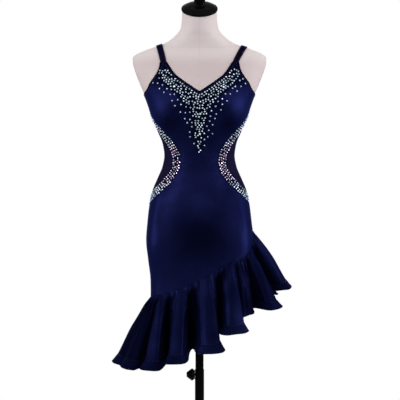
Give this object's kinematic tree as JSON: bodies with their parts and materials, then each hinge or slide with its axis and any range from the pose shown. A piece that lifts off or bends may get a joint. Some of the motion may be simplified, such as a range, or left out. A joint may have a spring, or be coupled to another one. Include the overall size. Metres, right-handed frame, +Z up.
{
  "type": "salsa dance dress on a limbless dress form with a pole stand",
  "caption": "Slim stretch dance dress with net waist insets and a slanting gathered flounce, worn by a limbless dress form that turns on a height-adjustable pole stand.",
  "frame": {"origin": "middle of the base plate's underside, on the axis of the pole", "axes": "+Z up along the pole, the dress faces -Y, +X is the wearer's left, where the hem is highest"},
  "size_m": [0.5458, 0.4297, 1.563],
  "materials": {
    "velvet": "navy stretch velvet with a satin sheen",
    "net": "dark navy power net",
    "form_cover": "smooth off-white stretch cover",
    "black_steel": "gloss black",
    "black_plastic": "gloss black"
  },
  "bodies": {
    "stand": {"base_plate": "black_steel", "base_collar": "black_steel", "lower_tube": "black_steel"},
    "knob": {"clamp_knob": "black_plastic"},
    "mast": {"mast_tube": "black_steel"},
    "form": {"form_socket": "black_steel", "form_torso": "form_cover", "neck_cap": "black_plastic", "front_panel": "velvet", "back_panel": "velvet", "net_inset_right": "net", "net_inset_left": "net", "strap_right": "velvet", "strap_left": "velvet", "flounce_front": "velvet", "flounce_back": "velvet"}
  },
  "joints": [
    {"name": "mast_slide", "type": "slide", "parent": "stand", "child": "mast", "axis": [0, 0, 1], "range_m": [-0.15, 0.13]},
    {"name": "form_turn", "type": "hinge", "parent": "mast", "child": "form", "pos_m": [0, 0, 0.72], "axis": [0, 0, 1], "continuous": true},
    {"name": "knob_turn", "type": "hinge", "parent": "stand", "child": "knob", "pos_m": [-0.027, 0, 0.4055], "axis": [-1, 0, 0], "continuous": true}
  ]
}
